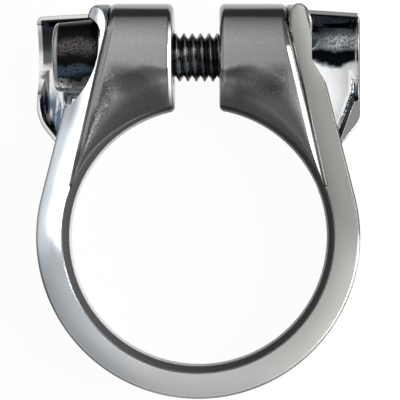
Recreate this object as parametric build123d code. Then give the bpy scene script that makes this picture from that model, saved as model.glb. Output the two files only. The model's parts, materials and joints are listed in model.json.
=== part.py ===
"""Seatpost clamp: a cast split clamp with leaning legs, bolt lugs, scooped wings, a screw and a washer.

Millimetres. +Z runs along the bore, up. +Y points from the bore to the bolt. The origin is the bore's centre
on the bottom face.
"""

import os
from math import cos, radians, sin, sqrt

from build123d import *

# Bolt and washer
thread_d = 6.0
bolt_len = 25.0
tip_chamfer = 0.6
head_base_r = 4.6
head_end_r = 4.05
head_len = 5.5
head_edge = 0.6
socket_flats = 5.0
socket_deep = 3.2
washer_lip = 0.1
washer_r = head_base_r + washer_lip
washer_thick = 0.8
washer_clear = 0.2
washer_edge = 0.15

# Clearances of the bolt's holes and seat
tapped_clear = 0.05
shank_clear = 0.3
seat_clear = 0.4
tapped_r = thread_d / 2 + tapped_clear
clear_r = thread_d / 2 + shank_clear
seat_r = washer_r + seat_clear

# Lugs: barrels round the bolt, a wall thicker than the troughs behind its ends
trough_step = 0.6
trough_r = seat_r + trough_step
lug_wall = 0.7
lug_r = trough_r + lug_wall
lug_under_z = 0.2
bolt_z = lug_under_z + lug_r
lug_low_y = 5.9
lug_fade_y = 2.5
leg_side_edge = 0.9
gap_side_edge = 0.7
gap = 5.5
gap_x = -0.25

# Ring, as tall as the lugs less the height by which they stand proud
bore_r = 15.9
ring_wall = 3.1
ring_r = bore_r + ring_wall
lug_proud = 1.0
ring_h = bolt_z + lug_r - lug_proud
ring_edge = 0.35
bore_edge = 0.15
bolt_out = 5.7
bolt_y = bore_r + bolt_out
fall = lug_proud / (bolt_y - lug_fade_y)

# Legs of the U-shaped band
leg_rise = (5.5, 5.8)
leg_lean_out = 14.3
leg_lean_in = 13.4
leg_head_x = 10.7
leg_head_w = (2.3, 2.7)
leg_knee_r = 8.0
leg_apex_x = (12.0, 11.8)
leg_arch_in = (2.4, 1.5)
leg_arch_out = (2.0, 2.9)
leg_heel_r = 4.0
under_leg_y = bolt_y + 3.6
under_leg_step = 0.1
under_leg_over = 0.3

# Places along the bolt
seat_out = 0.3
tip_sunk = 0.1
seat_x = -leg_head_x - seat_out
head_x = seat_x - washer_thick
spot_x = head_x + bolt_len + tip_sunk

# Roll of the lugs into the bore: it begins beside the leg, then below the bolt, and grows deeper
roll_start_deg = 18.0
roll_angles = (20, 34, 44, 55, 66, 78, 90)
roll_below = 1.5
roll_strip = 1.6
roll_corner = 16
roll_deep = 12.0
roll_round = 0.5523
roll_past = 0.1

# Wings behind the bolt's ends
wing_over = 2.6
wing_x = head_len - head_x + wing_over
wing_corner_r = 0.7
wing_hip_y = bolt_y - 7.3
wing_foot_x = wing_x - 2.7
wing_foot_y = bolt_y - 10.6
hip_round = (5.0, 1.5)
rim_leg_drop = (2.6, 1.7)
rim_end_drop = (3.3, 2.7)
rim_wall = 0.45
rim_edge = 0.15
scoop_hip = (0.3, 3.5)
scoop_hip_r = (4.5, 1.0)
scoop_foot_wall = (0.45, 0.25)
trough_rise_deg = 4.0
trough_round = 1.0

# Notches of the legs: out from the seat, and up from the bolt's axis
notch_z = bolt_z - 1.6
notch_foot = (4.4, -6.5)
notch_flank = (1.4, -2.5)
notch_side = (0.57, 1.3)
notch_turn = (0.85, 3.4)
notch_crown = (2.0, 4.2)
notch_top = (5.0, 4.7)
spot_top = 2.8
spot_knee = -0.8
spot_foot = (1.7, -3.6)
spot_round = 1.2


def leg_in_x(y):
    """X of the right leg's inner line, a tangent of the bore that turns upright beside the bolt."""
    lean = radians(leg_lean_in)
    return max((bore_r - y * sin(lean)) / cos(lean), leg_head_x)


def mirrored(points):
    """The same line on the left, walked the other way."""
    return [(-x, y) for x, y in reversed(points)]


def core_plan():
    """Outline, from above, of the room between the two legs, which the lugs fill."""
    lean = radians(leg_lean_in)
    knee_y = (bore_r - leg_head_x * cos(lean)) / sin(lean)
    side = [(leg_in_x(lug_low_y), lug_low_y), (leg_head_x, knee_y), (leg_head_x, 2 * ring_r)]
    plan = Polygon(*side, *mirrored(side), align=None)
    return fillet([v for v in plan.vertices() if abs(v.Y - knee_y) < 0.01], leg_knee_r)


def along_x(x0, x1, radius):
    """A cylinder on the bolt's axis from x0 to x1."""
    turned = Rot(0, 90, 0) * Cylinder(radius, x1 - x0)
    return Pos((x0 + x1) / 2, bolt_y, bolt_z) * turned


def leg_outline(side):
    """A leg's outer line from the ring to its top, upright beside the bolt, drawn on the right."""
    lean = radians(leg_lean_out)
    top_x = leg_head_x + leg_head_w[side]
    knee_y = (ring_r - top_x * cos(lean)) / sin(lean)
    return [(ring_r * cos(lean), ring_r * sin(lean)), (top_x, knee_y), (top_x, bolt_y + leg_rise[side])]


def arch_waste(side):
    """What is cut from both sides of a leg's arched top, drawn on the right."""
    apex_x, top_y = leg_apex_x[side], bolt_y + leg_rise[side]
    waste = []
    for way, reach, high in ((-1, apex_x - leg_head_x, leg_arch_in[side]),
                             (1, leg_head_x + leg_head_w[side] - apex_x, leg_arch_out[side])):
        box = Rectangle(2 * reach, 2 * high, align=(Align.MIN if way > 0 else Align.MAX, Align.MIN))
        waste.append(Pos(apex_x, top_y - high) * (box - Ellipse(reach, high)))
    return waste


def heel_tool(side):
    """The tool that rounds the foot of a leg's end in side view."""
    box = Box(2 * ring_r, 2 * leg_heel_r, 2 * leg_heel_r, align=(Align.MIN, Align.MIN, Align.MAX))
    waste = box - Rot(0, 90, 0) * Cylinder(leg_heel_r, 5 * ring_r)
    return Pos(0, bolt_y + leg_rise[side] - leg_heel_r, leg_heel_r) * waste


def under_leg(side):
    """The barrel of a lug carried on below its leg's arched top, drawn on the right."""
    rod = along_x(leg_head_x - under_leg_step, leg_apex_x[side] + under_leg_over, lug_r - under_leg_step)
    room = Box(4 * ring_r, ring_r, 4 * ring_r, align=(Align.CENTER, Align.MIN, Align.CENTER))
    return rod & Pos(0, under_leg_y, 0) * room


def on_bore(edge):
    """True for an edge of the bore or of the short step where the lug begins."""
    p = edge @ 0.5
    return p.X**2 + p.Y**2 < (bore_r + bore_edge) ** 2 or abs(p.Y - lug_low_y) < 0.01


def band():
    """The ring and its two leaning legs, one U-shaped band of one height."""
    shield = Polygon(*leg_outline(1), *mirrored(leg_outline(0)), align=None)
    plan = Circle(ring_r) + shield - core_plan() - Circle(bore_r)
    for waste in (*arch_waste(1), *[mirror(w, Plane.YZ) for w in arch_waste(0)]):
        plan = plan - waste
    solid = extrude(plan, ring_h, dir=(0, 0, 1))
    solid = fillet([e for e in solid.edges().group_by(Axis.Z)[-1] if not on_bore(e)], ring_edge)
    mouth = Cone(bore_r, bore_r + bore_edge, bore_edge, align=(Align.CENTER, Align.CENTER, Align.MAX))
    solid = solid - Pos(0, 0, ring_h) * mouth - mirror(mouth, Plane.XY)
    return solid - heel_tool(1) - mirror(heel_tool(0), Plane.YZ)


def lug_side_profile():
    """Side view of a lug, seen along the bolt: round at the top, falling slowly to the ring."""
    slope = sqrt(1 + fall**2)
    ridge = (bolt_y - lug_r * fall / slope, bolt_z + lug_r / slope)
    nose = (bolt_y + lug_r, bolt_z)
    under = (bolt_y, lug_under_z)
    low_y = lug_low_y - 2 * gap_side_edge
    over = ThreePointArc(ridge, (bolt_y + lug_r * 0.6, bolt_z + lug_r * 0.8), nose)
    back = ThreePointArc(nose, (bolt_y + lug_r * 0.6, bolt_z - lug_r * 0.8), under)
    rest = Polyline(under, (low_y, lug_under_z), (low_y, lug_top_z(low_y)), ridge)
    return make_face([over, back, *rest.edges()])


def lug_top_z(y):
    """Height of the lug's flat, which falls towards the ring."""
    return bolt_z + lug_r * sqrt(1 + fall**2) + fall * (y - bolt_y)


def roll_share(angle_deg):
    """How far round the roll this angle is, from 0 at its start to 1 at the gap."""
    return (angle_deg - roll_start_deg) / (90 - roll_start_deg)


def roll_reach(angle_deg):
    """Where the roll begins, out from the bore's axis: beside the leg, then below the bolt."""
    a = radians(angle_deg)
    by_leg = (bore_r - roll_strip * roll_share(angle_deg)) / cos(a - radians(leg_lean_in))
    by_bolt = (bolt_y - roll_below) / sin(a)
    return (by_leg**-roll_corner + by_bolt**-roll_corner) ** (-1 / roll_corner)


def roll_section(angle_deg):
    """Section of the roll's cutter in the plane through the bore's axis at this angle."""
    a = radians(angle_deg)
    inside = bore_r - roll_past
    reach = roll_reach(angle_deg)
    high = lug_top_z(reach * sin(a))
    low = high - roll_deep * roll_share(angle_deg)
    across, down = roll_round * (reach - inside), roll_round * (high - low)
    plane = Plane(origin=(0, 0, 0), x_dir=(cos(a), sin(a), 0), z_dir=(sin(a), -cos(a), 0))
    start, end = (reach, high), (inside, low)
    curve = Bezier(start, (reach - across, high - across * fall * sin(a)), (inside, low + down), end)
    hollow, sky = inside - roll_strip, ring_h + lug_proud + roll_strip
    box = Polyline(end, (hollow, low), (hollow, sky), (reach, sky), start)
    return plane * make_face([curve, *box.edges()])


def lug(face_x):
    """The right lug, from its gap face: a barrel about the bolt, rolled into the bore."""
    room = Pos(face_x, lug_low_y) * Rectangle(ring_r, 2 * ring_r, align=(Align.MIN, Align.MIN))
    block = extrude(core_plan() & room, 2 * ring_h, dir=(0, 0, 1))
    side = extrude(Plane.YZ * lug_side_profile(), ring_r, dir=(1, 0, 0))
    solid = block & side
    solid = fillet([e for e in solid.edges() if beside_leg(e)], leg_side_edge)
    solid = solid - loft([roll_section(a) for a in roll_angles])
    solid = solid - Cylinder(bore_r, 4 * ring_h)
    return fillet([e for e in solid.edges() if beside_gap(e, face_x)], gap_side_edge)


def beside_leg(edge):
    """True for an edge of a lug's upper outline along the right leg's inner line."""
    ends = [edge @ t for t in (0, 0.5, 1)]
    return ends[1].Z > bolt_z and all(abs(p.X - leg_in_x(p.Y)) < 0.1 for p in ends)


def beside_gap(edge, face_x):
    """True for an edge of a lug's gap face, apart from its foot."""
    p = edge @ 0.5
    return edge.length > 1 and abs(p.X - face_x) < 0.01 and p.Z > lug_under_z + 1


def wing(side):
    """A wing, drawn on the right: a shell behind the bolt's end, scooped out from above."""
    root_x, leg_z, end_z = -seat_x, bolt_z - rim_leg_drop[side], bolt_z - rim_end_drop[side]
    sky_y, far_x = bolt_y + 2 * lug_r, 2 * wing_x
    hip, foot = (wing_x, wing_hip_y), (wing_foot_x, wing_foot_y)
    plan = Polygon((root_x, sky_y), (wing_x, sky_y), hip, foot, (-seat_x + 3.6, wing_foot_y), align=None)
    plan = fillet([v for v in plan.vertices() if abs(v.Y - wing_hip_y) < 0.01], hip_round[side])
    block = extrude(plan, 2 * ring_h, dir=(0, 0, 1))
    barrel = extrude(Plane.YZ * lug_side_profile(), far_x, dir=(1, 0, 0))
    above = [(root_x, leg_z), (wing_x, end_z), (far_x, end_z), (far_x, 2 * ring_h), (root_x, 2 * ring_h)]
    sky = make_face(Polyline(*above, close=True).edges())
    solid = (block & barrel) - extrude(Plane.XZ * sky, 2 * sky_y, both=True)
    ends = [e for e in solid.edges() if abs((e @ 0.5).X - wing_x) < 0.01 and (e @ 0.5).Y > bolt_y]
    solid = fillet([e for e in ends if (e @ 0.5).Z < end_z - 0.1], wing_corner_r)
    trough_end = (far_x, wing_x - rim_wall)[side]
    solid = solid - scoop(side) - along_x(leg_head_x, trough_end, trough_r)
    return fillet([e for e in solid.edges() if on_rim(e, leg_z, end_z)], rim_edge)


def on_rim(edge, leg_z, end_z):
    """True for an edge in the wing's sloping rim plane, clear of the leg."""
    p = edge @ 0.5
    rim_z = leg_z + (end_z - leg_z) * (p.X + seat_x) / (wing_x + seat_x)
    return p.X > wing_x - 5 and abs(p.Z - rim_z) < 0.06


def scoop(side):
    """The tool for the trough's lower half: a pocket with a rounded floor that rises to the wing's foot."""
    run = (wing_x - wing_foot_x, wing_hip_y - wing_foot_y)
    size = sqrt(run[0] ** 2 + run[1] ** 2)
    wall = scoop_foot_wall[side] / size
    hip = (wing_x - rim_wall, wing_hip_y + scoop_hip[side])
    foot = (wing_foot_x - wall * run[1], wing_foot_y + wall * run[0])
    root_x = leg_head_x - 1
    plan = Polygon((root_x, bolt_y), (wing_x - rim_wall, bolt_y), hip, foot, (root_x, foot[1]), align=None)
    plan = fillet([v for v in plan.vertices() if abs(v.Y - hip[1]) < 0.01], scoop_hip_r[side])
    tool = extrude(plan, ring_h, dir=(0, 0, 1))
    low = [e for e in tool.edges().group_by(Axis.Z)[0] if abs((e @ 0.5).Y - bolt_y) > 0.01]
    tool = fillet([e for e in low if (e @ 0.5).X > root_x + 0.1], trough_round)
    return Pos(0, bolt_y, bolt_z - trough_r) * Rot(-trough_rise_deg, 0, 0) * Pos(0, -bolt_y, 0) * tool


def by_seat(place):
    """A point seen from above, given outwards from the head's seat and upwards from the bolt's axis."""
    return (seat_x - place[0], bolt_y + place[1])


def head_notch():
    """The tool that clears the left leg's top for the bolt head, seen from above."""
    foot, side, crown = by_seat(notch_foot), by_seat(notch_side), by_seat(notch_crown)
    flank = ThreePointArc(foot, by_seat(notch_flank), side)
    turn = ThreePointArc(side, by_seat(notch_turn), crown)
    top = by_seat(notch_top)
    rest = Polyline(crown, top, (-2 * wing_x, top[1]), (-2 * wing_x, foot[1]), foot)
    plan = make_face([flank, turn, *rest.edges()])
    return Pos(0, 0, notch_z) * extrude(plan, 2 * ring_h, dir=(0, 0, 1))


def tip_notch():
    """The tool for the shallow flat on the right leg, seen from above."""
    top_y, knee_y, foot_y = bolt_y + spot_top, bolt_y + spot_knee, bolt_y + spot_foot[1]
    edge = [(spot_x, top_y), (spot_x, knee_y), (spot_x + spot_foot[0], foot_y)]
    plan = Polygon(*edge, (2 * wing_x, foot_y), (2 * wing_x, top_y), align=None)
    plan = fillet([v for v in plan.vertices() if abs(v.Y - knee_y) < 0.01], spot_round)
    return Pos(0, 0, notch_z) * extrude(plan, 2 * ring_h, dir=(0, 0, 1))


def clamp_body():
    """The whole casting: band, lugs and wings, then the seats, notches and bolt holes."""
    left_lug = mirror(lug(gap / 2 - gap_x), Plane.YZ)
    solid = band() + left_lug + lug(gap / 2 + gap_x) + mirror(wing(0), Plane.YZ) + wing(1)
    solid = solid + mirror(under_leg(0), Plane.YZ) + under_leg(1)
    solid = solid - along_x(-2 * wing_x, seat_x, seat_r) - head_notch()
    solid = solid - along_x(spot_x, wing_x - rim_wall, seat_r) - tip_notch()
    return solid - along_x(seat_x - 1, 0, clear_r) - along_x(0, spot_x + 1, tapped_r)


def clamp_bolt():
    """The socket screw, head to the left, with a tapered head and a plain shank at the thread's size."""
    end = head_x - head_len
    tip = head_x + bolt_len
    rod = thread_d / 2
    outline = [(end, 0), (end, head_end_r), (head_x, head_base_r), (head_x, rod)]
    outline += [(tip - tip_chamfer, rod), (tip, rod - tip_chamfer), (tip, 0)]
    half = make_face(Polyline(*outline, close=True).edges())
    solid = revolve(half, Axis.X, 360)
    rim = [e for e in solid.edges() if abs((e @ 0.5).X - end) < 0.01]
    solid = fillet(rim, head_edge)
    hexagon = Plane.YZ * RegularPolygon(socket_flats / 2, 6, major_radius=False)
    solid = solid - Pos(end, 0, 0) * extrude(hexagon, socket_deep, dir=(1, 0, 0))
    return Pos(0, bolt_y, bolt_z) * solid


def washer():
    """The plain washer under the bolt head."""
    disc = along_x(head_x, seat_x, washer_r)
    disc = fillet(disc.edges().filter_by(GeomType.CIRCLE), washer_edge)
    return disc - along_x(head_x - 1, seat_x + 1, thread_d / 2 + washer_clear)


os.makedirs("parts", exist_ok=True)
export_step(clamp_body(), "parts/clamp_body.step")
export_step(clamp_bolt(), "parts/clamp_bolt.step")
export_step(washer(), "parts/washer.step")
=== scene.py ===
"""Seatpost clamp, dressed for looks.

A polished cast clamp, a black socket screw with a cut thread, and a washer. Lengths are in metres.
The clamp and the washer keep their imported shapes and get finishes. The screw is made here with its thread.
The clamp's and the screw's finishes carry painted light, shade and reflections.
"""

import json
import math
from types import SimpleNamespace

import bmesh
import bpy
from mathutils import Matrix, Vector


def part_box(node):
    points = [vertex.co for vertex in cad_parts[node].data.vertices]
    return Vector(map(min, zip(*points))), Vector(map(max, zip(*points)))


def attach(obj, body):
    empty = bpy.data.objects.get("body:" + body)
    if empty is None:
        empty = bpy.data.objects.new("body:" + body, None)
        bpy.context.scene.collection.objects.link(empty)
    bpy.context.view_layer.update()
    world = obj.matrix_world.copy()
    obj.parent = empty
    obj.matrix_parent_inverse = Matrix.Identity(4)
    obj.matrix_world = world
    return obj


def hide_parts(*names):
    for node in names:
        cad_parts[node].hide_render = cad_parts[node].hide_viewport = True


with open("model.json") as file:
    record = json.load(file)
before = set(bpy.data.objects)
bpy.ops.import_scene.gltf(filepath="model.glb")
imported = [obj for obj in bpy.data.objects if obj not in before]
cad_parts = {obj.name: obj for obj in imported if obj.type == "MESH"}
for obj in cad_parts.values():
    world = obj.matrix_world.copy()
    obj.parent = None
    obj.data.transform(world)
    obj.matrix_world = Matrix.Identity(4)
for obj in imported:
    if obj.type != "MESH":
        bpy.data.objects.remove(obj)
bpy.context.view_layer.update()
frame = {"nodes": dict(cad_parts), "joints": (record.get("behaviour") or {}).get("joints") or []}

bl_info = {
    "name": "Seatpost clamp",
    "version": (1, 0, 0),
    "blender": (4, 5, 0),
    "location": "View3D > Sidebar > Clamp",
    "description": "Dresses a seatpost clamp: finishes, threaded screw and studio",
    "category": "Object",
}

MM = 0.001

# Places taken from the frame
SCREW_AXIS = frame["joints"][1]["pos_m"]
SCREW_LOW, SCREW_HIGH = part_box("clamp_bolt")
HEAD_BASE_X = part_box("washer")[0][0]

# How far the legs' inner and outer lines lean towards the screw
LEG_LEAN_IN = math.radians(13.4)
LEG_LEAN_OUT = math.radians(14.3)

# Tints of painted light on the band's upper face: cool on the left, warm on the right
NO_TINT = (1.0, 1.0, 1.0, 1.0)
COOL_LIGHT_LEFT = (0.935, 1.0, 1.055, 1.0)
WARM_LIGHT_RIGHT = (0.99, 1.0, 0.935, 1.0)

# Colours painted on the screw: painted reflections in bands across the head, a painted highlight on its end
# rim and painted highlights on the thread's flanks; the crests' colour is their wear
BROWN_SHEEN_BAND = (0.11, 0.10, 0.105, 1.0)
BLUE_REFLECTION_BAND = (0.13, 0.19, 0.28, 1.0)
PALE_REFLECTION_BAND = (0.9, 0.9, 0.9, 1.0)
RIM_HIGHLIGHT = (0.75, 0.75, 0.76, 1.0)
RUBBED_CREST = (0.13, 0.13, 0.13, 1.0)
FLANK_HIGHLIGHT = (0.95, 0.95, 0.95, 1.0)
BLUE_FLANK_REFLECTION = (0.62, 0.70, 0.78, 1.0)

# Levels of the soft sky: up the ring's closed side, over the top and down the screw's side; and left to right
SKY_ALONG = (
    (0.0, 0.60), (0.25, 0.60), (0.31, 0.26), (0.40, 0.23), (0.43, 0.34), (0.455, 0.72), (0.50, 0.90),
    (0.583, 1.0), (0.647, 0.84), (0.714, 0.52), (0.75, 0.26), (0.775, 0.06), (1.0, 0.06))
SKY_ACROSS = (
    (0.0, 0.8), (0.12, 0.65), (0.25, 0.70), (0.36, 0.80), (0.42, 1.10), (0.455, 1.40), (0.483, 1.06),
    (0.50, 0.98), (0.517, 0.90), (0.535, 0.62), (0.57, 0.42), (0.64, 0.35), (0.88, 0.35), (1.0, 0.7))


class ClampFinish(bpy.types.PropertyGroup):
    """Colours and smoothness of the casting."""

    face_color: bpy.props.FloatVectorProperty(
        name="Band", description="Satin band of the ring and legs", subtype="COLOR", size=4,
        default=(0.49, 0.49, 0.491, 1.0))
    lug_color: bpy.props.FloatVectorProperty(
        name="Lugs", description="Darker polish of the bolt lugs", subtype="COLOR", size=4,
        default=(0.34, 0.337, 0.342, 1.0))
    # painted highlights on the left lug's gap edge and on the ring's lowest outside edge
    highlight_color: bpy.props.FloatVectorProperty(
        name="Pale edges", description="Rubbed edges at the gap and below the ring", subtype="COLOR", size=4,
        default=(0.95, 0.95, 0.95, 1.0))
    # painted reflection along the left leg's inner edge beside its lug
    foot_color: bpy.props.FloatVectorProperty(
        name="Leg's foot", description="Matt foot of the left leg beside its lug", subtype="COLOR", size=4,
        default=(0.44, 0.44, 0.445, 1.0))
    wing_color: bpy.props.FloatVectorProperty(
        name="Wings", description="Bright wings behind the bolt's ends", subtype="COLOR", size=4,
        default=(0.97, 0.978, 0.985, 1.0))
    rim_color: bpy.props.FloatVectorProperty(
        name="Rims", description="Satin rims of the wings", subtype="COLOR", size=4,
        default=(0.72, 0.71, 0.70, 1.0))
    # painted dark reflections on the wings' inner walls and in streaks over the left scoop
    wall_shade_color: bpy.props.FloatVectorProperty(
        name="Walls", description="Inner walls of the wings", subtype="COLOR", size=4,
        default=(0.10, 0.14, 0.19, 1.0))
    # painted dark reflections over the troughs, and a black strip along the right one
    trough_color: bpy.props.FloatVectorProperty(
        name="Troughs", description="Shady half of the troughs", subtype="COLOR", size=4,
        default=(0.60, 0.68, 0.76, 1.0))
    shade_color: bpy.props.FloatVectorProperty(
        name="Trough tops", description="Dark upper side of the troughs", subtype="COLOR", size=4,
        default=(0.02, 0.025, 0.035, 1.0))
    strip_color: bpy.props.FloatVectorProperty(
        name="Black strip", description="Black strip along the right trough", subtype="COLOR", size=4,
        default=(0.004, 0.005, 0.007, 1.0))
    bore_color: bpy.props.FloatVectorProperty(
        name="Bore", description="Dull wall of the bore", subtype="COLOR", size=4,
        default=(0.045, 0.045, 0.047, 1.0))
    # painted reflection of the pale floor on the bore wall's lowest part
    bore_end_color: bpy.props.FloatVectorProperty(
        name="Bore's end", description="Pale far end of the bore", subtype="COLOR", size=4,
        default=(0.6, 0.6, 0.61, 1.0))
    band_rough: bpy.props.FloatProperty(
        name="Band roughness", description="Satin of the band", subtype="FACTOR",
        min=0.0, max=1.0, default=0.37)
    lug_rough: bpy.props.FloatProperty(
        name="Lug roughness", description="Polish of the lugs", subtype="FACTOR",
        min=0.0, max=1.0, default=0.15)
    roll_rough: bpy.props.FloatProperty(
        name="Roll roughness", description="Satin of the lugs' rolls into the bore", subtype="FACTOR",
        min=0.0, max=1.0, default=0.36)
    wing_rough: bpy.props.FloatProperty(
        name="Wing roughness", description="Polish of the wings", subtype="FACTOR",
        min=0.0, max=1.0, default=0.06)
    bore_rough: bpy.props.FloatProperty(
        name="Bore roughness", description="Dullness of the bore", subtype="FACTOR",
        min=0.0, max=1.0, default=0.7)
    wing_metal: bpy.props.FloatProperty(
        name="Wing metal", description="How metallic the wings' bright floors are", subtype="FACTOR",
        min=0.0, max=1.0, default=0.55)
    crown: bpy.props.FloatProperty(
        name="Crown", description="How much the band's face is crowned, per metre", default=95.0)
    sharp_angle: bpy.props.FloatProperty(
        name="Sharp edges", description="Edges that bend by more than this stay sharp", subtype="ANGLE",
        default=math.radians(32))


class ScrewSizes(bpy.types.PropertyGroup):
    """Sizes of the socket screw."""

    pitch: bpy.props.FloatProperty(
        name="Pitch", description="Travel in one turn", unit="LENGTH", default=1.0 * MM)
    crest_r: bpy.props.FloatProperty(
        name="Crest radius", description="Outside of the thread", unit="LENGTH", default=2.92 * MM)
    root_r: bpy.props.FloatProperty(
        name="Root radius", description="Bottom of the thread", unit="LENGTH", default=2.3 * MM)
    phase: bpy.props.FloatProperty(
        name="Phase", description="Where a crest passes the screw's far side", unit="LENGTH",
        default=0.22 * MM)
    head_base_r: bpy.props.FloatProperty(
        name="Head base radius", description="Head beside the washer", unit="LENGTH", default=4.6 * MM)
    head_end_r: bpy.props.FloatProperty(
        name="Head end radius", description="Head at its socket", unit="LENGTH", default=4.05 * MM)
    head_round: bpy.props.FloatProperty(
        name="Head rounding", description="Rounding at the socket's end", unit="LENGTH", default=0.6 * MM)
    socket_flats: bpy.props.FloatProperty(
        name="Socket flats", description="Hex key size", unit="LENGTH", default=5.0 * MM)
    socket_deep: bpy.props.FloatProperty(
        name="Socket depth", description="Depth of the hex socket", unit="LENGTH", default=3.2 * MM)
    color: bpy.props.FloatVectorProperty(
        name="Black steel", description="Blackened steel", subtype="COLOR", size=4,
        default=(0.0022, 0.0022, 0.0025, 1.0))


class StudioSettings(bpy.types.PropertyGroup):
    """Floor, light and camera."""

    floor_half: bpy.props.FloatProperty(
        name="Floor half width", description="Half the floor's side", unit="LENGTH", default=1.2)
    key_power: bpy.props.FloatProperty(
        name="Side light", description="Power of the light on the right, in watts", default=2.2)
    key_place: bpy.props.FloatVectorProperty(
        name="Side light place", description="Middle of the light", subtype="TRANSLATION", size=3,
        default=(270 * MM, 45 * MM, 190 * MM))
    key_aim: bpy.props.FloatVectorProperty(
        name="Side light aim", description="Point that the light faces", subtype="TRANSLATION", size=3,
        default=(0.0, 10 * MM, 6 * MM))
    key_size: bpy.props.FloatVectorProperty(
        name="Side light size", description="Width and height of the light", unit="LENGTH", size=2,
        default=(220 * MM, 360 * MM))
    sky_level: bpy.props.FloatProperty(
        name="Sky", description="Level of the soft light all round", default=1.0)
    eye: bpy.props.FloatVectorProperty(
        name="Camera", description="Camera's place, looking straight down", subtype="TRANSLATION", size=3,
        default=(2.33 * MM, 0.924 * MM, 190 * MM))
    lens: bpy.props.FloatProperty(
        name="Lens", description="Focal length in millimetres on a 36 mm sensor", default=136.98)
    shift: bpy.props.FloatVectorProperty(
        name="Shift", description="Shift of the picture, as shares of its side", size=2,
        default=(-0.045, 0.0725))


def new_socket(group, name, direction, kind, value=None):
    """Adds a named socket to a node group."""
    made = group.interface.new_socket(name=name, in_out=direction, socket_type=kind)
    if value is not None:
        made.default_value = value
    return made


def scaled(color, share):
    """A colour made darker or lighter by a share."""
    return tuple(level * share for level in color[:3]) + (1.0,)


class Wiring:
    """Short ways to add and join nodes in one tree."""

    def __init__(self, tree):
        self.tree = tree

    def node(self, kind, **values):
        """Adds a node and sets its values."""
        made = self.tree.nodes.new(kind)
        for key, value in values.items():
            setattr(made, key, value)
        return made

    def join(self, source, target):
        """Links an output to an input."""
        self.tree.links.new(source, target)

    def put(self, socket, value):
        """Links a socket, or sets a constant, on an input."""
        if isinstance(value, bpy.types.NodeSocket):
            self.join(value, socket)
        else:
            socket.default_value = value

    def math(self, operation, a, b=0.0, c=0.0):
        """One sum of up to three numbers."""
        made = self.node("ShaderNodeMath", operation=operation)
        for socket, value in zip(made.inputs, (a, b, c)):
            self.put(socket, value)
        return made.outputs[0]

    def all_of(self, first, *others):
        """Product of shares."""
        for other in others:
            first = self.math("MULTIPLY", first, other)
        return first

    def any_of(self, first, *others):
        """Largest of shares."""
        for other in others:
            first = self.math("MAXIMUM", first, other)
        return first

    def rest(self, share):
        """What a share leaves of 1."""
        return self.math("SUBTRACT", 1.0, share)

    def length(self, a, b):
        """Length of a vector with the parts a and b."""
        return self.math("SQRT", self.math("ADD", self.math("MULTIPLY", a, a), self.math("MULTIPLY", b, b)))

    def split(self, vector):
        """The X, Y and Z of a vector."""
        parts = self.node("ShaderNodeSeparateXYZ")
        self.join(vector, parts.inputs[0])
        return parts.outputs["X"], parts.outputs["Y"], parts.outputs["Z"]

    def step(self, value, low, high):
        """Rises smoothly from 0 at low to 1 at high."""
        made = self.node("ShaderNodeMapRange", interpolation_type="SMOOTHSTEP")
        for name, entry in (("Value", value), ("From Min", low), ("From Max", high)):
            self.put(made.inputs[name], entry)
        return made.outputs["Result"]

    def rise(self, value, low, high):
        """Rises smoothly from 0 at low to 1 at high, both in millimetres."""
        return self.step(value, low * MM, high * MM)

    def span(self, value, rise, fall):
        """Rises over one pair of millimetres and falls again over another."""
        return self.all_of(self.rise(value, *rise), self.rise(value, *fall))

    def jitter(self, value, grain, spread):
        """A number that a grain from 0 to 1 shifts, by half of spread at most."""
        return self.math("MULTIPLY_ADD", self.math("SUBTRACT", grain, 0.5), spread, value)

    def blend(self, share, a, b):
        """Colour a, giving way to colour b as share goes to 1."""
        made = self.node("ShaderNodeMix", data_type="RGBA")
        self.put(made.inputs[0], share)
        self.put(made.inputs[6], a)
        self.put(made.inputs[7], b)
        return made.outputs[2]

    def times(self, a, b):
        """Colour a times colour or number b."""
        made = self.node("ShaderNodeMix", data_type="RGBA", blend_type="MULTIPLY")
        made.inputs[0].default_value = 1.0
        self.put(made.inputs[6], a)
        self.put(made.inputs[7], b)
        return made.outputs[2]

    def mix(self, share, a, b):
        """Number a, giving way to number b as share goes to 1."""
        made = self.node("ShaderNodeMix", data_type="FLOAT")
        self.put(made.inputs[0], share)
        self.put(made.inputs[2], a)
        self.put(made.inputs[3], b)
        return made.outputs[0]

    def noise(self, spot, scale, detail=2.0, rough=0.5):
        """A cloudy number from 0 to 1 over the surface."""
        made = self.node("ShaderNodeTexNoise")
        self.put(made.inputs["Vector"], spot)
        self.put(made.inputs["Scale"], scale)
        made.inputs["Detail"].default_value = detail
        made.inputs["Roughness"].default_value = rough
        return made.outputs["Fac"]


def grain_group():
    """Fine metal grain: tone and height that change over the surface, shared by every finish."""
    group = bpy.data.node_groups.new("metal_grain", "ShaderNodeTree")
    new_socket(group, "Grain size", "INPUT", "NodeSocketFloat", 9000.0)
    new_socket(group, "Cloud size", "INPUT", "NodeSocketFloat", 260.0)
    new_socket(group, "Tone", "OUTPUT", "NodeSocketFloat")
    new_socket(group, "Cloud", "OUTPUT", "NodeSocketFloat")
    new_socket(group, "Height", "OUTPUT", "NodeSocketFloat")
    w = Wiring(group)
    entry = w.node("NodeGroupInput")
    spot = w.node("ShaderNodeTexCoord").outputs["Object"]
    grain = w.noise(spot, scale=entry.outputs["Grain size"], detail=3.0)
    cloud = w.noise(spot, scale=entry.outputs["Cloud size"], detail=4.0)
    out = w.node("NodeGroupOutput")
    w.join(w.step(grain, 0.3, 0.7), out.inputs["Tone"])
    w.join(w.step(cloud, 0.3, 0.7), out.inputs["Cloud"])
    w.join(grain, out.inputs["Height"])
    return group


def start_material(name):
    """An empty material with its Principled shader and its wiring."""
    material = bpy.data.materials.new(name)
    material.use_nodes = True
    material.node_tree.nodes.clear()
    w = Wiring(material.node_tree)
    shader = w.node("ShaderNodeBsdfPrincipled")
    out = w.node("ShaderNodeOutputMaterial")
    w.join(shader.outputs["BSDF"], out.inputs["Surface"])
    return material, w, shader


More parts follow.
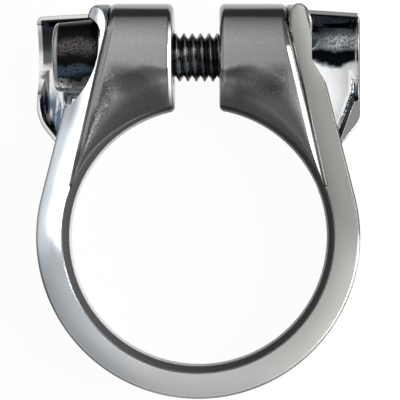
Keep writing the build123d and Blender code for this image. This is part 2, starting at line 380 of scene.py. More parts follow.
def place_grain(w, grain, cloud):
    """The shared grain group, placed in a material with its own sizes."""
    made = w.node("ShaderNodeGroup")
    made.node_tree = bpy.data.node_groups.get("metal_grain") or grain_group()
    made.inputs["Grain size"].default_value = grain
    made.inputs["Cloud size"].default_value = cloud
    return made


def add_bump(w, shader, height, strength, distance, under=None):
    """Fine relief, laid over another normal if one is given."""
    bump = w.node("ShaderNodeBump")
    if under is not None:
        w.join(under, bump.inputs["Normal"])
    bump.inputs["Strength"].default_value = strength
    bump.inputs["Distance"].default_value = distance
    w.join(height, bump.inputs["Height"])
    w.join(bump.outputs["Normal"], shader.inputs["Normal"])


def along(w, x, y, lean):
    """Distance from the ring's axis, square to a leg's line that leans by this angle."""
    return w.math("ADD", w.math("MULTIPLY", x, math.cos(lean)), w.math("MULTIPLY", y, math.sin(lean)))


def casting_place(w):
    """A point of the casting's surface: where it is, how far across the band, and the way it faces."""
    spot = w.node("ShaderNodeTexCoord").outputs["Object"]
    side, y, z = w.split(spot)
    x = w.math("ABSOLUTE", side)
    on_right = w.math("GREATER_THAN", side, 0.0)
    round_r = w.length(x, y)
    along_in = along(w, x, y, LEG_LEAN_IN)
    along_out = along(w, x, y, LEG_LEAN_OUT)
    on_leg = w.math("GREATER_THAN", y, w.math("MULTIPLY", x, math.tan(LEG_LEAN_IN)))
    surface = w.node("ShaderNodeNewGeometry")
    face_x, face_y, face_z = w.split(surface.outputs["Normal"])
    return SimpleNamespace(
        spot=spot, side=side, x=x, y=y, z=z, on_right=on_right, on_left=w.rest(on_right),
        round_r=round_r, along_in=along_in, along_out=along_out,
        across=w.mix(on_leg, round_r, along_in), outer_r=w.mix(on_leg, round_r, along_out),
        face_x=face_x, face_y=face_y, face_z=face_z, flat_z=w.split(surface.outputs["True Normal"])[2])


def main_regions(w, at):
    """Masks of the bore, the lugs, the wings and the band's upper face."""
    upright = w.step(w.math("ABSOLUTE", at.flat_z), 0.35, 0.15)
    bore = w.all_of(w.rise(at.round_r, 16.14, 16.10), upright)
    inside = w.all_of(w.rise(at.along_in, 15.93, 15.86), w.rise(at.y, 5.6, 6.0))
    barrel = w.all_of(w.rise(at.x, 10.74, 10.68), w.rise(at.y, 20.5, 20.8))
    lug = w.all_of(w.any_of(inside, barrel), w.rest(bore))
    hollow = w.all_of(w.rise(at.z, 5.6, 5.2), w.rise(at.y, 14.0, 14.4))
    beyond = w.any_of(w.rise(at.along_out, 19.0, 19.1), hollow)
    wing = w.all_of(beyond, w.rise(at.y, 10.4, 11.0), w.rise(at.x, 10.9, 11.4))
    band = w.all_of(w.rest(w.any_of(lug, wing, bore)), w.step(at.face_z, 0.05, 0.35))
    return SimpleNamespace(bore=bore, lug=lug, wing=wing, band=band)


def scoop_stripes(w, spot):
    """Streaks of painted dark reflection drawn out along the left leg."""
    drawn = w.node("ShaderNodeMapping")
    drawn.inputs["Scale"].default_value = (1.0, 0.22, 1.0)
    drawn.inputs["Rotation"].default_value = (0.0, 0.0, math.radians(-14))
    w.join(spot, drawn.inputs["Vector"])
    return w.step(w.noise(drawn.outputs["Vector"], scale=1700.0, detail=3.0, rough=0.6), 0.38, 0.54)


def wing_details(w, at, on):
    """Masks of the wings' rims, walls and troughs, the right trough's strip and the left scoop's streaks:
    where painted dark reflections and a painted glint go.
    """
    over = w.math("SUBTRACT", at.y, SCREW_AXIS[1])
    up = w.math("SUBTRACT", at.z, SCREW_AXIS[2])
    uneven = w.jitter(over, w.noise(at.spot, scale=320.0, detail=3.0, rough=0.55), 2.6 * MM)
    speckle = w.step(w.noise(at.spot, scale=4200.0, detail=2.0, rough=0.6), 0.41, 0.52)
    in_trough = w.all_of(on.wing, w.rise(at.x, 19.5, 19.3), w.rise(w.length(over, up), 5.95, 5.85))
    right_end = w.all_of(at.on_right, w.rise(at.x, 14.2, 17.6))
    # painted glint: a speckled bright patch kept clear of the right trough's painted dark reflection
    glint = w.all_of(w.span(over, (1.3, 2.0), (3.8, 2.8)), right_end, speckle)
    # painted dark reflections over the troughs' upper sides, and a black strip in the right trough
    trough = w.all_of(in_trough, w.rest(glint), w.rise(uneven, -0.6, 0.3))
    strip = w.all_of(trough, at.on_right, w.rise(uneven, 2.2, 1.4))
    outward = w.math("MULTIPLY", at.face_x, w.math("SIGN", at.side))
    inward = w.step(w.math("SUBTRACT", at.face_y, outward), 0.1, 0.4)
    gentle = w.mix(at.on_right, 0.85, 0.97)
    steep = w.step(w.jitter(at.face_z, speckle, 0.16), gentle, w.math("SUBTRACT", gentle, 0.25))
    wall_top = w.mix(at.on_right, 16.2 * MM, 21.5 * MM)
    below = w.step(at.y, w.math("ADD", wall_top, 1.0 * MM), wall_top)
    rim = w.all_of(on.wing, w.rise(at.z, 2.9, 3.2))
    left_scoop = w.all_of(w.math("SUBTRACT", on.wing, rim), w.rise(at.y, 19.4, 16.4), at.on_left)
    return SimpleNamespace(
        rim=rim, wall=w.all_of(on.wing, inward, steep, below), trough=trough, strip=strip,
        high=w.rise(uneven, 1.0, 5.0), painted_streaks=w.all_of(left_scoop, scoop_stripes(w, at.spot)))


def lug_details(w, at, on, grain):
    """Masks of the lugs' rolls into the bore, the places of painted shade and highlights on them, the gap's
    edge and the left leg's foot.
    """
    tone = grain.outputs["Tone"]
    turned = w.all_of(w.step(at.face_x, 0.15, 0.4), w.step(at.face_x, 0.84, 0.70))
    at_gap = w.all_of(on.lug, at.on_left, w.rise(at.x, 4.0, 3.8), turned)
    foot = w.all_of(w.span(at.across, (15.3, 15.6), (16.12, 16.0)), w.span(at.y, (9.0, 12.0), (26.0, 24.0)))
    drop = w.math("MINIMUM", w.math("SUBTRACT", at.y, 15.5 * MM), 0.0)
    streak_at = w.math("MULTIPLY_ADD", drop, 0.33, at.across)
    return SimpleNamespace(
        gap_edge=w.all_of(at_gap, w.span(at.y, (14.6, 17.8), (25.6, 23.4))),
        foot=w.all_of(foot, at.on_left, w.rest(on.wing)),
        rolled=w.rise(w.jitter(at.y, tone, 1.4 * MM), 19.8, 17.6),
        by_gap=w.all_of(w.rise(at.x, 5.0, 3.4), w.rise(at.y, 15.6, 17.4)),
        streak=w.span(streak_at, (12.9, 13.9), (15.3, 14.7)),
        shoulder=w.all_of(w.span(at.x, (6.8, 9.2), (11.0, 9.8)), w.span(at.y, (16.4, 17.6), (20.8, 19.2))),
        specks=w.all_of(w.rise(at.y, 20.0, 18.4), w.step(tone, 0.86, 1.0)))


def lug_colors(w, finish, at, lug):
    """Grey of the lugs: darker over their rolls, lighter beside the gap, and specked. The darker and lighter
    greys are painted shade and painted reflections; the specks are random.
    """
    def grey(share):
        return scaled(finish.lug_color, share)

    # painted shade over a band of the left roll, the right roll's upper part and the shoulders; painted
    # highlight beside the gap and low on the right roll
    left = w.blend(lug.streak, grey(1.05), grey(0.26))
    right = w.blend(w.rise(at.y, 17.4, 15.0), grey(0.72), grey(1.2))
    roll = w.blend(lug.by_gap, w.blend(at.on_right, left, right), grey(2.1))
    color = w.blend(lug.shoulder, w.blend(lug.rolled, grey(1.0), roll), grey(0.45))
    return w.blend(lug.specks, color, grey(1.7))


def casting_colors(w, finish, at, on, wing, lug):
    """Lays the colours of the band, the lugs, the wings and the bore over each other, with painted shade,
    highlights and reflections among them.
    """
    # painted shade on the right leg's sloped outer edge; painted highlight on the ring's lowest outside edge
    sloped = w.all_of(w.rise(at.outer_r, 18.55, 18.8), w.step(at.face_z, 0.15, 0.35))
    right_edge = w.all_of(at.on_right, w.rise(at.y, -2.0, 1.0), sloped, w.rest(on.wing))
    low_edge = w.all_of(sloped, w.rise(at.y, -6.0, -12.0))
    color = w.blend(on.lug, finish.face_color, lug_colors(w, finish, at, lug))
    color = w.blend(right_edge, color, scaled(finish.face_color, 0.17))
    # painted highlights: pale lowest outside edge of the ring and pale gap edge of the left lug
    color = w.blend(w.any_of(low_edge, lug.gap_edge), color, finish.highlight_color)
    # painted reflection: matt grey along the left leg's inner edge beside its lug
    color = w.blend(lug.foot, color, finish.foot_color)
    color = w.blend(on.wing, color, finish.wing_color)
    color = w.blend(wing.rim, color, finish.rim_color)
    # painted dark reflections on the wings' inner walls and over the left scoop
    wall_shade_color = w.blend(at.on_right, finish.wall_shade_color, scaled(finish.wall_shade_color, 0.3))
    color = w.blend(w.any_of(wing.wall, wing.painted_streaks), color, wall_shade_color)
    # painted dark reflections in the troughs and their black strip
    low_trough = w.blend(at.on_right, scaled(finish.trough_color, 0.16), finish.trough_color)
    color = w.blend(wing.trough, color, w.blend(wing.high, low_trough, finish.shade_color))
    color = w.blend(wing.strip, color, finish.strip_color)
    # painted reflection: the bore's wall pales towards the floor
    bore_color = w.blend(w.rise(at.z, 4.2, 2.6), finish.bore_color, finish.bore_end_color)
    return w.blend(on.bore, color, bore_color)


def band_painted_light(w, at, on):
    """Painted light and shade on the band's upper face: lighter and darker stretches, with painted light that
    is cool on the left and warm on the right.
    """
    over_band = w.rise(at.across, 16.0, 19.0)
    low_sides = w.mix(at.on_right, w.mix(over_band, 1.12, 0.72), w.mix(over_band, 0.92, 1.22))
    low_side = w.all_of(w.rise(at.y, -1.0, -6.0), w.rise(at.x, 2.0, 12.0))
    low_level = w.mix(low_side, 1.0, low_sides)
    outer_half = w.all_of(w.rise(at.across, 17.0, 17.7), w.mix(w.rise(at.across, 18.2, 18.9), 1.0, 0.5))
    left_leg = w.all_of(w.span(at.y, (-3.5, 1.0), (15.0, 10.5)), outer_half)
    left_top = w.all_of(w.span(at.across, (16.1, 16.6), (18.2, 17.6)), w.rise(at.y, 11.0, 15.5))
    left_level = w.mix(left_top, w.mix(left_leg, 1.0, 1.6), 0.66)
    right_leg = w.all_of(w.span(at.y, (-3.0, 2.0), (21.0, 16.5)), w.rise(at.across, 16.2, 18.5))
    leg_level = w.mix(at.on_right, left_level, w.mix(right_leg, 1.0, 0.70))
    level = w.mix(on.band, 1.0, w.math("MULTIPLY", low_level, leg_level))
    tint = w.blend(at.on_right, COOL_LIGHT_LEFT, WARM_LIGHT_RIGHT)
    tint = w.blend(w.all_of(on.band, w.rise(at.x, 5.0, 14.0)), NO_TINT, tint)
    return w.times(tint, level)


def casting_metal(w, finish, on, wing, lug):
    """How metallic the casting is: less so on the wings' floors, the matt edges and the bore. The matt edges
    carry painted highlight at the left lug's gap and painted reflection on the left leg's foot.
    """
    dark = w.any_of(wing.trough, wing.wall, wing.painted_streaks)
    floor = w.math("SUBTRACT", w.math("SUBTRACT", on.wing, wing.rim), dark)
    plated = w.mix(w.math("MAXIMUM", floor, 0.0), 1.0, finish.wing_metal)
    matt = w.math("MULTIPLY", w.any_of(lug.gap_edge, lug.foot), 0.9)
    return w.all_of(plated, w.rest(w.any_of(on.bore, matt)))


def casting_roughness(w, finish, on, lug, grain):
    """Satin band and rolls, polished lugs and wings, dull bore."""
    rough = w.mix(on.lug, finish.band_rough, w.mix(lug.rolled, finish.lug_rough, finish.roll_rough))
    rough = w.mix(on.wing, rough, finish.wing_rough)
    rough = w.mix(on.bore, rough, finish.bore_rough)
    return w.jitter(rough, grain.outputs["Cloud"], 0.05)


def band_crown(w, finish, at, on):
    """Normal of the band's softly crowned face. It bends less round the ring's closed side."""
    left_middle = w.all_of(w.span(at.y, (-4.0, 2.0), (12.0, 8.0)), at.on_left)
    off = w.math("SUBTRACT", at.across, w.mix(left_middle, 18.6 * MM, 18.85 * MM))
    inner = w.math("MINIMUM", off, 0.0)
    outer = w.math("MAXIMUM", off, 0.0)
    bend = w.math("MULTIPLY_ADD", w.math("MULTIPLY", outer, outer), 0.4, w.math("MULTIPLY", inner, inner))
    closed_left = w.mix(w.rise(at.x, 3.0, 13.0), 0.42, 0.2)
    left = w.mix(w.rise(at.y, -4.0, 2.0), closed_left, 1.0)
    right = w.mix(w.rise(at.y, -8.0, 4.0), 0.42, 1.0)
    share = w.all_of(w.rest(w.any_of(on.lug, on.wing)), w.mix(at.on_right, left, right))
    bowed = w.node("ShaderNodeBump")
    bowed.inputs["Strength"].default_value = 1.0
    bowed.inputs["Distance"].default_value = 1.0
    w.join(w.all_of(bend, -finish.crown, share), bowed.inputs["Height"])
    return bowed.outputs["Normal"]


def casting_material(finish):
    """One casting with four finishes: satin band, dark polished lugs, bright wings and a dull bore, with
    painted light, shade and reflections laid over them.
    """
    material, w, shader = start_material("polished_casting")
    grain = place_grain(w, grain=9000.0, cloud=240.0)
    at = casting_place(w)
    on = main_regions(w, at)
    wing = wing_details(w, at, on)
    lug = lug_details(w, at, on, grain)
    grain_spread = w.mix(on.lug, 0.10, 0.26)
    grain_least = w.mix(on.lug, 0.92, 0.84)
    tone = w.math("MULTIPLY_ADD", grain.outputs["Tone"], grain_spread, grain_least)
    color = w.times(casting_colors(w, finish, at, on, wing, lug), band_painted_light(w, at, on))
    w.join(w.times(color, tone), shader.inputs["Base Color"])
    w.join(casting_metal(w, finish, on, wing, lug), shader.inputs["Metallic"])
    w.join(casting_roughness(w, finish, on, lug, grain), shader.inputs["Roughness"])
    crowned = band_crown(w, finish, at, on)
    add_bump(w, shader, grain.outputs["Height"], strength=0.06, distance=0.02 * MM, under=crowned)
    return material


def screw_place(w):
    """A point of the screw's surface: along the screw, over its axis in +Y, and out from its axis."""
    x, y, z = w.split(w.node("ShaderNodeTexCoord").outputs["Object"])
    over = w.math("SUBTRACT", y, SCREW_AXIS[1])
    return SimpleNamespace(x=x, over=over, out=w.length(over, w.math("SUBTRACT", z, SCREW_AXIS[2])))


def reflection_band(low, high, edge=0.45):
    """Makes the mask of a band of painted reflection along the screw, between two distances from its axis in
    +Y, in mm.
    """
    def share(w, at, grain):
        wavy = w.jitter(at.over, grain.outputs["Cloud"], 0.8 * MM)
        band = w.span(wavy, (low - edge, low + edge), (high + edge, high - edge))
        return w.all_of(band, grain.outputs["Tone"])
    return share


def highlit_flanks(low, high):
    """Makes the mask of a band of painted highlight on the thread's outer flanks, fainter towards the right
    lug.
    """
    band = reflection_band(low, high)

    def share(w, at, grain):
        left = w.mix(w.rise(at.x, 1.2, -0.8), 0.25, 1.0)
        flank = w.mix(w.rise(at.out, 2.45, 2.85), 0.1, 1.0)
        return w.all_of(left, flank, band(w, at, grain))
    return share


def rubbed_crests(w, at, grain):
    """The rubbed crests of the thread."""
    return w.rise(at.out, 2.78, 2.90)


def end_rim_highlight(w, at, grain):
    """Painted highlight on the rim at the head's end."""
    rim = w.step(at.x, SCREW_LOW[0] + 0.70 * MM, SCREW_LOW[0] + 0.40 * MM)
    return w.all_of(rim, w.math("MULTIPLY_ADD", grain.outputs["Cloud"], 0.5, 0.35))


def black_material(name, color, rough, shine, relief, wear_and_reflections):
    """Blackened steel with a fine oxide grain. Each entry of the list is a mask and its colour: rubbed
    crests, or painted reflections and highlights.
    """
    material, w, shader = start_material(name)
    grain = place_grain(w, grain=5200.0, cloud=420.0)
    at = screw_place(w)
    tone = w.blend(grain.outputs["Tone"], color, scaled(color, 2.2))
    metal = 0.0
    for mask, mark_color in wear_and_reflections:
        share = mask(w, at, grain)
        tone = w.blend(share, tone, mark_color)
        metal = w.any_of(metal, share)
    w.join(tone, shader.inputs["Base Color"])
    w.join(metal, shader.inputs["Metallic"])
    w.join(w.math("MULTIPLY_ADD", grain.outputs["Cloud"], 0.12, rough), shader.inputs["Roughness"])
    shader.inputs["Specular IOR Level"].default_value = shine
    add_bump(w, shader, grain.outputs["Height"], strength=relief, distance=0.03 * MM)
    return material


def bright_material():
    """Bright plated steel for the washer."""
    material, w, shader = start_material("bright_washer")
    grain = place_grain(w, grain=7000.0, cloud=500.0)
    tone = w.blend(grain.outputs["Cloud"], (0.66, 0.66, 0.68, 1.0), (0.78, 0.78, 0.79, 1.0))
    w.join(tone, shader.inputs["Base Color"])
    shader.inputs["Metallic"].default_value = 1.0
    w.join(w.math("MULTIPLY_ADD", grain.outputs["Tone"], 0.10, 0.18), shader.inputs["Roughness"])
    add_bump(w, shader, grain.outputs["Height"], strength=0.08, distance=0.02 * MM)
    return material


def smooth_tree(sharp_angle):
    """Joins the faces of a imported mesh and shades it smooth, apart from its real edges."""
    tree = bpy.data.node_groups.new("joined_smooth", "GeometryNodeTree")
    new_socket(tree, "Geometry", "INPUT", "NodeSocketGeometry")
    new_socket(tree, "Geometry", "OUTPUT", "NodeSocketGeometry")
    w = Wiring(tree)
    entry, out = w.node("NodeGroupInput"), w.node("NodeGroupOutput")
    clear = w.node("GeometryNodeRemoveAttribute")
    clear.inputs["Name"].default_value = "custom_normal"
    weld = w.node("GeometryNodeMergeByDistance")
    weld.inputs["Distance"].default_value = 0.002 * MM
    faces = w.node("GeometryNodeSetShadeSmooth", domain="FACE")
    edges = w.node("GeometryNodeSetShadeSmooth", domain="EDGE")
    angle = w.node("GeometryNodeInputMeshEdgeAngle")
    soft = w.node("FunctionNodeCompare", data_type="FLOAT", operation="LESS_THAN")
    soft.inputs[1].default_value = sharp_angle
    w.join(entry.outputs[0], clear.inputs["Geometry"])
    w.join(clear.outputs["Geometry"], weld.inputs["Geometry"])
    w.join(weld.outputs["Geometry"], faces.inputs["Geometry"])
    w.join(faces.outputs["Geometry"], edges.inputs["Geometry"])
    w.join(angle.outputs["Unsigned Angle"], soft.inputs[0])
    w.join(soft.outputs["Result"], edges.inputs["Shade Smooth"])
    w.join(edges.outputs["Geometry"], out.inputs[0])
    return tree


def smooth_node(obj, sharp_angle):
    """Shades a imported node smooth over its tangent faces."""
    joined = obj.modifiers.new("joined", "NODES")
    joined.node_group = bpy.data.node_groups.get("joined_smooth") or smooth_tree(sharp_angle)
    even = obj.modifiers.new("even", "WEIGHTED_NORMAL")
    even.mode = "FACE_AREA"
    even.keep_sharp = True


def only_material(obj, material):
    """Gives an object this one material."""
    obj.data.materials.clear()
    obj.data.materials.append(material)


class CLAMP_OT_dress_body(bpy.types.Operator):
    """Gives the casting its finishes"""

    bl_idname = "clamp.dress_body"
    bl_label = "Dress the casting"

    def execute(self, context):
        finish = context.scene.clamp_finish
        body = frame["nodes"]["clamp_body"]
        smooth_node(body, finish.sharp_angle)
        only_material(body, casting_material(finish))
        return {"FINISHED"}


class CLAMP_OT_dress_washer(bpy.types.Operator):
    """Gives the washer its finish"""

    bl_idname = "clamp.dress_washer"
    bl_label = "Dress the washer"

    def execute(self, context):
        washer = frame["nodes"]["washer"]
        smooth_node(washer, context.scene.clamp_finish.sharp_angle)
        only_material(washer, bright_material())
        return {"FINISHED"}


def around(x, radius, angle):
    """A point round the screw's axis; the angle runs from +Y towards +Z."""
    return Vector((x, SCREW_AXIS[1] + radius * math.cos(angle), SCREW_AXIS[2] + radius * math.sin(angle)))


def screw_piece(name, bm, material, sharp_angle):
    """Makes an object of a bmesh, riding on the screw."""
    bmesh.ops.recalc_face_normals(bm, faces=bm.faces[:])
    mesh = bpy.data.meshes.new(name)
    bm.to_mesh(mesh)
    bm.free()
    mesh.shade_smooth()
    mesh.set_sharp_from_angle(angle=sharp_angle)
    obj = bpy.data.objects.new(name, mesh)
    bpy.context.scene.collection.objects.link(obj)
    mesh.materials.append(material)
    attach(obj, "screw")
    return obj


def hex_reach(flats, angle):
    """Distance from a hexagon's middle to its side, with a corner at angle 0."""
    sixth = math.pi / 3
    return flats / 2 / math.cos(angle % sixth - sixth / 2)


def head_rings(sizes, end_x, base_x):
    """Rings of the head as (x, reach), from the hidden middle of its base to the middle of its socket."""
    def turned(radius):
        return lambda angle: radius

    def hexed(grow):
        return lambda angle: hex_reach(sizes.socket_flats, angle) + grow

    base_r, end_r, rounding = sizes.head_base_r, sizes.head_end_r, sizes.head_round
    lip = 0.18 * MM
    taper = (base_r - end_r) / (base_x - end_x)
    rings = [(base_x, turned(sizes.root_r * 0.9)), (base_x, turned(base_r - lip))]
    rings += [(base_x - lip * 0.4, turned(base_r - lip * 0.3)), (base_x - lip, turned(base_r))]
    for share in (0.25, 0.5, 0.75):
        x = base_x - lip + (end_x + rounding - base_x + lip) * share
        rings.append((x, turned(end_r + taper * (x - end_x))))
    side = end_r + taper * rounding
    arc_steps = 8
    for step in range(arc_steps + 1):
        a = math.pi / 2 * step / arc_steps
        x = end_x + rounding - rounding * math.sin(a)
        rings.append((x, turned(side - rounding + rounding * math.cos(a))))
    corner = sizes.socket_flats / math.sqrt(3)
    rim, lead, ease, floor_round = 0.12 * MM, 0.25 * MM, 0.02 * MM, 0.08 * MM
    floor_x = end_x + sizes.socket_deep
    rings += [(end_x, turned(corner + rim)), (end_x + rim / 4, turned(corner + rim / 2))]
    rings += [(end_x + lead, hexed(ease)), (end_x + lead * 1.6, hexed(0.0))]
    rings += [(floor_x - floor_round, hexed(0.0)), (floor_x, hexed(-floor_round * 1.25))]
    return rings


def skin(bm, rows):
    """Quads between rows of vertices that each go once round."""
    count = len(rows[0])
    for low, high in zip(rows, rows[1:]):
        for j in range(count):
            k = (j + 1) % count
            bm.faces.new((low[j], low[k], high[k], high[j]))


class CLAMP_OT_make_head(bpy.types.Operator):
    """Makes the screw's tapered head with its hex socket"""

    bl_idname = "clamp.make_head"
    bl_label = "Make the screw head"

    def execute(self, context):
        sizes = context.scene.clamp_screw
        end_x, base_x = SCREW_LOW[0], HEAD_BASE_X
        drill_point = 0.5 * MM
        steps_round = 96
        angles = [2 * math.pi * j / steps_round for j in range(steps_round)]
        bm = bmesh.new()
        rows = []
        for x, reach in head_rings(sizes, end_x, base_x):
            rows.append([bm.verts.new(around(x, reach(a), a)) for a in angles])
        skin(bm, rows)
        for row, x in ((rows[0], base_x), (rows[-1], end_x + sizes.socket_deep + drill_point)):
            middle = bm.verts.new(around(x, 0.0, 0.0))
            for j in range(steps_round):
                bm.faces.new((row[j], row[(j + 1) % steps_round], middle))
        # painted reflections in bands across the head, and a painted highlight on its end rim
        wear_and_reflections = [
            (reflection_band(0.0, 1.6), BROWN_SHEEN_BAND),
            (reflection_band(-2.5, -1.5), BLUE_REFLECTION_BAND),
            (reflection_band(-6.0, -3.2), PALE_REFLECTION_BAND),
            (end_rim_highlight, RIM_HIGHLIGHT)]
        black = black_material("black_head", sizes.color, rough=0.12, shine=0.05, relief=0.06, wear_and_reflections=wear_and_reflections)
        head = screw_piece("screw_head", bm, black, math.radians(35))
        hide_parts("clamp_bolt")
        return {"FINISHED"}


def thread_form(sizes):
    """The thread's form over one pitch, as (share of the pitch, radius)."""
    crest, root = sizes.crest_r, sizes.root_r
    deep = crest - root
    half = [(0.06, crest), (0.10, crest - 0.07 * deep), (0.25, crest - 0.50 * deep)]
    half.append((0.44, root + 0.05 * deep))
    form = [(-0.5, root), (-0.48, root)]
    form += [(-share, radius) for share, radius in reversed(half)]
    return form + [(0.0, crest)] + half + [(0.48, root)]


class CLAMP_OT_make_thread(bpy.types.Operator):
    """Cuts the right-hand thread along the whole shank"""

    bl_idname = "clamp.make_thread"
    bl_label = "Make the thread"

    def execute(self, context):
        sizes = context.scene.clamp_screw
        x0, x1 = HEAD_BASE_X, SCREW_HIGH[0]
        neck = sizes.root_r - 0.1 * MM
        run_out = 1.2
        touching = 0.0005 * MM
        form = thread_form(sizes)
        steps_round = 64
        per_pitch = len(form)
        first = math.floor((x0 - sizes.phase) / sizes.pitch) - 1
        last = math.ceil((x1 - sizes.phase) / sizes.pitch) + 1
        bm = bmesh.new()
        rows = []
        for k in range(first, last + 1):
            for share, radius in form:
                row = []
                for j in range(steps_round):
                    angle = 2 * math.pi * j / steps_round
                    x = sizes.phase + sizes.pitch * (k + share + j / steps_round)
                    x = min(max(x, x0), x1)
                    room = min(x1 - x, (x - x0) * run_out)
                    row.append(bm.verts.new(around(x, min(radius, neck + room), angle)))
                rows.append(row)
        for low, high in zip(rows, rows[1:]):
            for j in range(steps_round - 1):
                bm.faces.new((low[j], low[j + 1], high[j + 1], high[j]))
        ahead = rows[per_pitch:]
        for i in range(len(ahead) - 1):
            bm.faces.new((rows[i][-1], ahead[i][0], ahead[i + 1][0], rows[i + 1][-1]))
        bmesh.ops.remove_doubles(bm, verts=bm.verts[:], dist=touching)
        bmesh.ops.dissolve_degenerate(bm, edges=bm.edges[:], dist=touching)
        loose = [v for v in bm.verts if not v.link_faces]
        bmesh.ops.delete(bm, geom=loose, context="VERTS")
        bmesh.ops.holes_fill(bm, edges=[e for e in bm.edges if e.is_boundary], sides=0)
        # rubbed crests; painted highlight and painted blue reflection in bands on the outer flanks
        wear_and_reflections = [
            (rubbed_crests, RUBBED_CREST),
            (highlit_flanks(0.0, 0.8), FLANK_HIGHLIGHT),
            (highlit_flanks(-1.8, -0.9), BLUE_FLANK_REFLECTION)]
        black = black_material("black_thread", sizes.color, rough=0.06, shine=0.45, relief=0.25, wear_and_reflections=wear_and_reflections)
        screw_piece("screw_thread", bm, black, math.radians(40))
        return {"FINISHED"}


def sky_ramp(w, value, stops):
    """A soft ramp of grey levels over a number from 0 to 1."""
    ramp = w.node("ShaderNodeValToRGB")
    ramp.color_ramp.interpolation = "LINEAR"
    marks = ramp.color_ramp.elements
    while len(marks) < len(stops):
        marks.new(0.5)
    for mark, (place, level) in zip(marks, stops):
        mark.position = place
        mark.color = (level, level, level, 1.0)
    w.put(ramp.inputs[0], value)
    return ramp.outputs[0]


def build_sky(level):
    """Soft light from above and behind the screw, dark towards the ring's closed side."""
    world = bpy.data.worlds.new("soft_sky")
    bpy.context.scene.world = world
    world.use_nodes = True
    world.node_tree.nodes.clear()
    w = Wiring(world.node_tree)
    way_x, way_y, way_z = w.split(w.node("ShaderNodeTexCoord").outputs["Generated"])
    tip = w.math("DIVIDE", w.math("ARCTAN2", way_y, way_z), 2 * math.pi)
    lean = w.math("DIVIDE", w.math("ARCSINE", way_x), math.pi)
    level_along = sky_ramp(w, w.math("ADD", tip, 0.5), SKY_ALONG)
    level_across = sky_ramp(w, w.math("ADD", lean, 0.5), SKY_ACROSS)
    glow = w.node("ShaderNodeBackground")
    w.join(w.math("MULTIPLY", level_along, level_across), glow.inputs["Color"])
    glow.inputs["Strength"].default_value = level
    out = w.node("ShaderNodeOutputWorld")
    w.join(glow.outputs[0], out.inputs["Surface"])


def floor_material():
    """A pale floor, white to the eye. The metal mirrors it dark inside the ring and away from the clamp."""
    seen_level, near_level, ring_level, far_level = 0.96, 0.9, 0.1, 0.03
    material = bpy.data.materials.new("pale_floor")
    material.use_nodes = True
    material.node_tree.nodes.clear()
    w = Wiring(material.node_tree)
    x, y, _ = w.split(w.node("ShaderNodeTexCoord").outputs["Object"])
    squeezed = w.math("MULTIPLY_ADD", w.math("MAXIMUM", y, 0.0), -0.16, y)
    near = w.rise(w.length(x, squeezed), 40.0, 33.0)
    in_ring = w.rise(w.length(x, y), 16.5, 15.0)
    path = w.node("ShaderNodeLightPath")
    eye = path.outputs["Is Camera Ray"]
    mirrored = w.any_of(path.outputs["Is Glossy Ray"], path.outputs["Is Transmission Ray"])
    mirror_level = w.mix(in_ring, w.mix(near, far_level, near_level), ring_level)
    glow = w.node("ShaderNodeEmission")
    w.join(w.mix(eye, mirror_level, seen_level), glow.inputs["Strength"])
    matt = w.node("ShaderNodeBsdfDiffuse")
    matt.inputs["Color"].default_value = (0.8, 0.8, 0.8, 1.0)
    faint = w.node("ShaderNodeBsdfDiffuse")
    faint.inputs["Color"].default_value = (0.03, 0.03, 0.03, 1.0)
    seen = w.node("ShaderNodeAddShader")
    w.join(glow.outputs[0], seen.inputs[0])
    w.join(faint.outputs[0], seen.inputs[1])
    pick = w.node("ShaderNodeMixShader")
    w.join(w.any_of(eye, mirrored), pick.inputs[0])
    w.join(matt.outputs[0], pick.inputs[1])
    w.join(seen.outputs[0], pick.inputs[2])
    out = w.node("ShaderNodeOutputMaterial")
    w.join(pick.outputs[0], out.inputs["Surface"])
    return material


def add_floor(half):
    """The floor that the clamp lies on."""
    mesh = bpy.data.meshes.new("floor")
    low = -0.03 * MM
    corners = [(-half, -half, low), (half, -half, low), (half, half, low), (-half, half, low)]
    mesh.from_pydata(corners, [], [(0, 1, 2, 3)])
    floor = bpy.data.objects.new("floor", mesh)
    bpy.context.scene.collection.objects.link(floor)
    mesh.materials.append(floor_material())


def add_side_light(studio):
    """A soft rectangular lamp on the right that faces the clamp."""
    light = bpy.data.lights.new("side_light", "AREA")
    light.shape = "RECTANGLE"
    light.size, light.size_y = studio.key_size
    light.energy = studio.key_power
    lamp = bpy.data.objects.new("side_light", light)
    lamp.location = studio.key_place
    way = Vector(studio.key_aim) - Vector(studio.key_place)
    lamp.rotation_euler = way.to_track_quat("-Z", "Y").to_euler()
    bpy.context.scene.collection.objects.link(lamp)


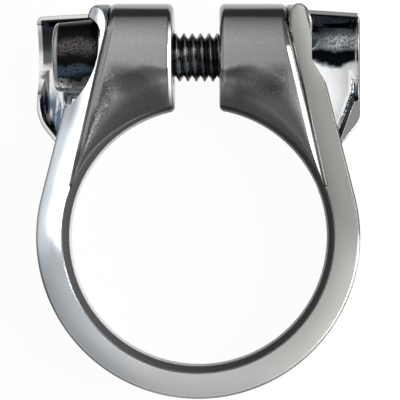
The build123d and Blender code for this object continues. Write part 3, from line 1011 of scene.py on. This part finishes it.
def add_camera(studio):
    """A camera that looks straight down, with the image's up towards the screw."""
    data = bpy.data.cameras.new("camera")
    data.lens = studio.lens
    data.sensor_width = 36.0
    data.shift_x, data.shift_y = studio.shift
    data.clip_start = 1.0 * MM
    camera = bpy.data.objects.new("camera", data)
    camera.location = studio.eye
    bpy.context.scene.collection.objects.link(camera)
    bpy.context.scene.camera = camera


class CLAMP_OT_build_studio(bpy.types.Operator):
    """Sets the floor, the light and the camera"""

    bl_idname = "clamp.build_studio"
    bl_label = "Build the studio"

    def execute(self, context):
        studio = context.scene.clamp_studio
        context.scene.view_settings.view_transform = "Standard"
        build_sky(studio.sky_level)
        add_floor(studio.floor_half)
        add_side_light(studio)
        add_camera(studio)
        return {"FINISHED"}


class CLAMP_PT_panel(bpy.types.Panel):
    """Lists the steps and the sizes of the clamp"""

    bl_idname = "CLAMP_PT_panel"
    bl_label = "Seatpost clamp"
    bl_space_type = "VIEW_3D"
    bl_region_type = "UI"
    bl_category = "Clamp"

    def draw(self, context):
        for group in (context.scene.clamp_finish, context.scene.clamp_screw, context.scene.clamp_studio):
            box = self.layout.box()
            for name in group.__annotations__:
                box.prop(group, name)
        for step in STEPS:
            self.layout.operator(step.bl_idname)


GROUPS = {"clamp_finish": ClampFinish, "clamp_screw": ScrewSizes, "clamp_studio": StudioSettings}
STEPS = (
    CLAMP_OT_dress_body, CLAMP_OT_dress_washer, CLAMP_OT_make_head, CLAMP_OT_make_thread,
    CLAMP_OT_build_studio)


def register():
    """Adds the settings, the steps and the panel."""
    for name, group in GROUPS.items():
        bpy.utils.register_class(group)
        setattr(bpy.types.Scene, name, bpy.props.PointerProperty(type=group))
    for step in STEPS:
        bpy.utils.register_class(step)
    bpy.utils.register_class(CLAMP_PT_panel)


def unregister():
    """Takes them away again."""
    bpy.utils.unregister_class(CLAMP_PT_panel)
    for step in reversed(STEPS):
        bpy.utils.unregister_class(step)
    for name, group in reversed(GROUPS.items()):
        delattr(bpy.types.Scene, name)
        bpy.utils.unregister_class(group)


def main():
    """Runs the steps in order."""
    register()
    bpy.ops.clamp.dress_body()
    bpy.ops.clamp.dress_washer()
    bpy.ops.clamp.make_head()
    bpy.ops.clamp.make_thread()
    bpy.ops.clamp.build_studio()


if __name__ == "__main__":
    main()
